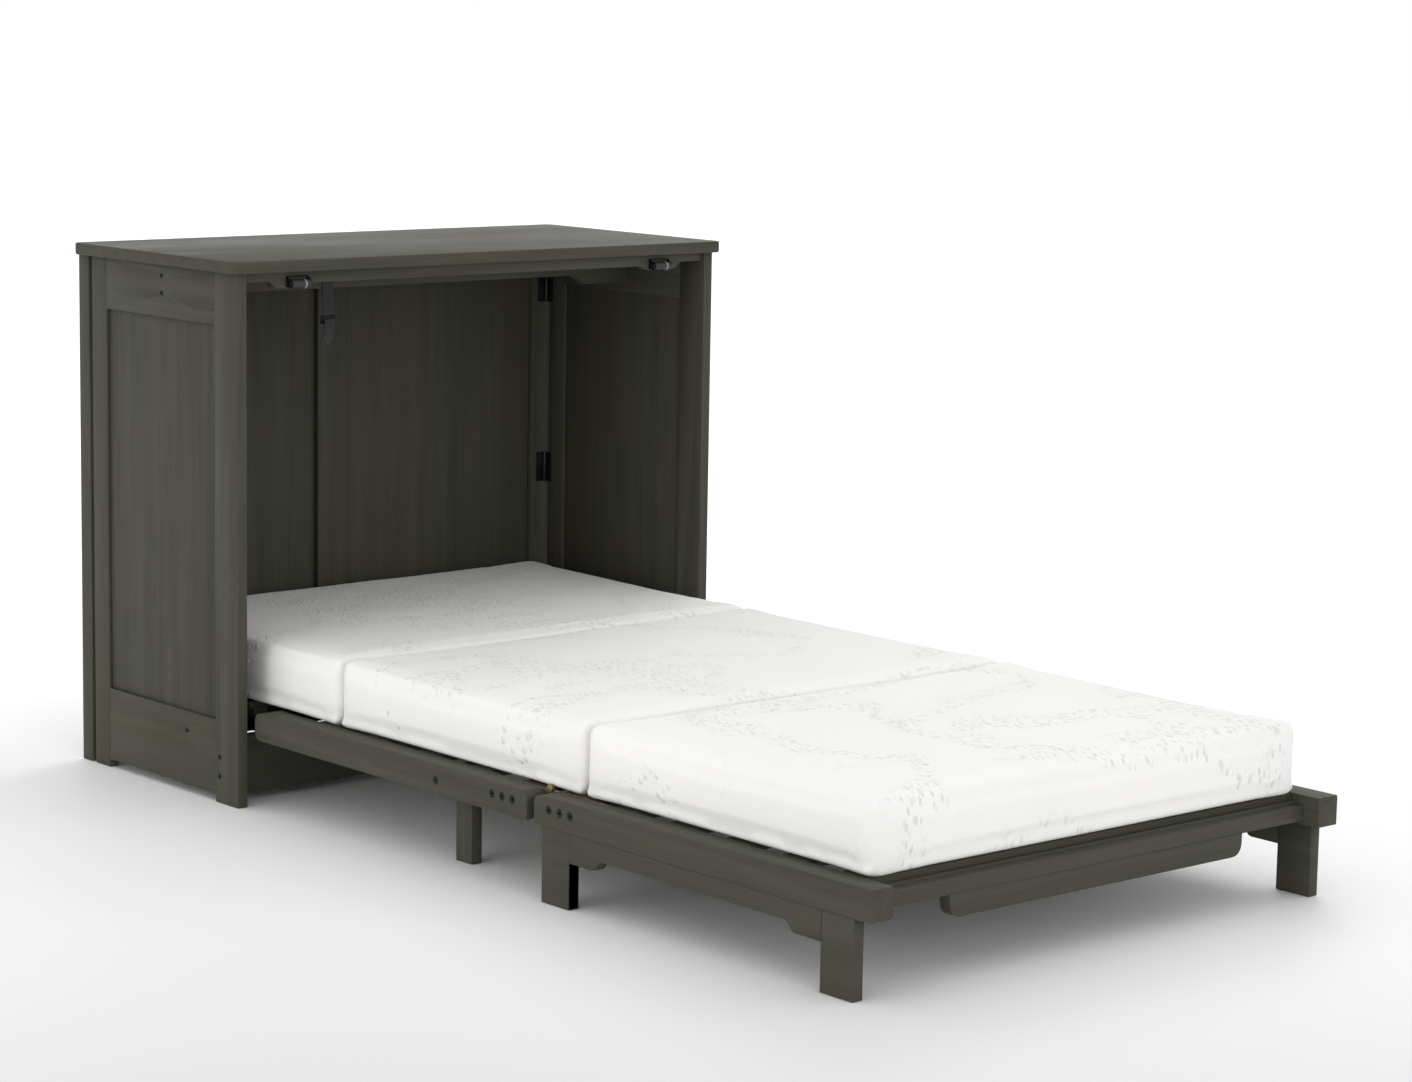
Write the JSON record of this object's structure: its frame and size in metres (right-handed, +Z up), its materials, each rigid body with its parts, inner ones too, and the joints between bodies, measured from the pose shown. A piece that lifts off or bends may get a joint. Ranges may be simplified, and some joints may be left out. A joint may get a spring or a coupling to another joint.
{
  "type": "murphy cabinet bed",
  "caption": "Low wooden cabinet whose hinged two-section slatted frame folds out of the open front and carries a three-section mattress.",
  "frame": {"origin": "on the floor, under the middle of the whole object's box with the bed folded out", "axes": "+Z up, +Y towards the cabinet's back, so the foot of the bed points along -Y; +X to the right for someone facing the cabinet's open front"},
  "size_m": [1.13, 2.159, 0.985],
  "materials": {
    "stain": "dark grey-brown stain under satin lacquer",
    "steel": "black",
    "brass": "dull brass",
    "rubber": "black, with a paler stripe",
    "webbing": "black woven webbing",
    "ticking": "white knit cover with embossed ticks"
  },
  "bodies": {
    "cabinet": {"top_slab": "stain", "front_apron": "stain", "cross_rail": "stain", "toe_board": "stain", "head_deck": "stain", "back_top_rail": "stain", "back_bottom_rail": "stain", "back_muntin": "stain", "strap": "webbing", "strap_buckle": "steel", "mattress_head": "ticking", "left_front_stile": "stain", "right_front_stile": "stain", "left_rear_stile": "stain", "right_rear_stile": "stain", "left_top_rail": "stain", "right_top_rail": "stain", "left_bottom_rail": "stain", "right_bottom_rail": "stain", "left_side_panel": "stain", "right_side_panel": "stain", "left_back_stile": "stain", "right_back_stile": "stain", "left_back_panel": "stain", "right_back_panel": "stain", "left_upper_butt_hinge": "steel", "right_upper_butt_hinge": "steel", "left_lower_butt_hinge": "steel", "right_lower_butt_hinge": "steel", "left_roller_bracket": "steel", "right_roller_bracket": "steel", "left_head_bearer": "stain", "right_head_bearer": "stain", "left_pivot_bracket": "steel", "right_pivot_bracket": "steel", "cross_bearer": "stain"},
    "middle_frame": {"middle_deck": "stain", "middle_head_bar": "stain", "middle_fold_bar": "stain", "mattress_middle": "ticking", "left_middle_rail": "stain", "right_middle_rail": "stain", "left_middle_hinge_leaf": "brass", "right_middle_hinge_leaf": "brass", "left_prop_bolt": "steel", "right_prop_bolt": "steel"},
    "foot_frame": {"foot_deck": "stain", "foot_fold_bar": "stain", "foot_end_rail": "stain", "mattress_foot": "ticking", "left_foot_rail": "stain", "right_foot_rail": "stain", "left_foot_hinge_leaf": "brass", "right_foot_hinge_leaf": "brass", "left_leg_board": "stain", "right_leg_board": "stain"},
    "left_prop": {"left_prop_leg": "stain"},
    "right_prop": {"right_prop_leg": "stain"},
    "left_roller": {"left_guide_roller": "rubber"},
    "right_roller": {"right_guide_roller": "rubber"}
  },
  "joints": [
    {"name": "middle_frame_lift", "type": "hinge", "parent": "cabinet", "child": "middle_frame", "pos_m": [0, 0.5055, 0.152], "axis": [-1, 0, 0], "range_deg": [0, 90], "deforming": ["mattress_head", "mattress_middle"]},
    {"name": "foot_frame_fold", "type": "hinge", "parent": "middle_frame", "child": "foot_frame", "pos_m": [0, -0.2725, 0.178], "axis": [-1, 0, 0], "range_deg": [0, 180], "deforming": ["mattress_foot"]},
    {"name": "left_prop_fold", "type": "hinge", "parent": "middle_frame", "child": "left_prop", "pos_m": [-0.458, -0.0145, 0.151], "axis": [1, 0, 0], "range_deg": [0, 80]},
    {"name": "right_prop_fold", "type": "hinge", "parent": "middle_frame", "child": "right_prop", "pos_m": [0.458, -0.0145, 0.151], "axis": [1, 0, 0], "range_deg": [0, 80]},
    {"name": "left_roller_spin", "type": "hinge", "parent": "cabinet", "child": "left_roller", "pos_m": [-0.421, 0.5432, 0.941], "axis": [1, 0, 0], "continuous": true},
    {"name": "right_roller_spin", "type": "hinge", "parent": "cabinet", "child": "right_roller", "pos_m": [0.421, 0.5432, 0.941], "axis": [1, 0, 0], "continuous": true}
  ]
}
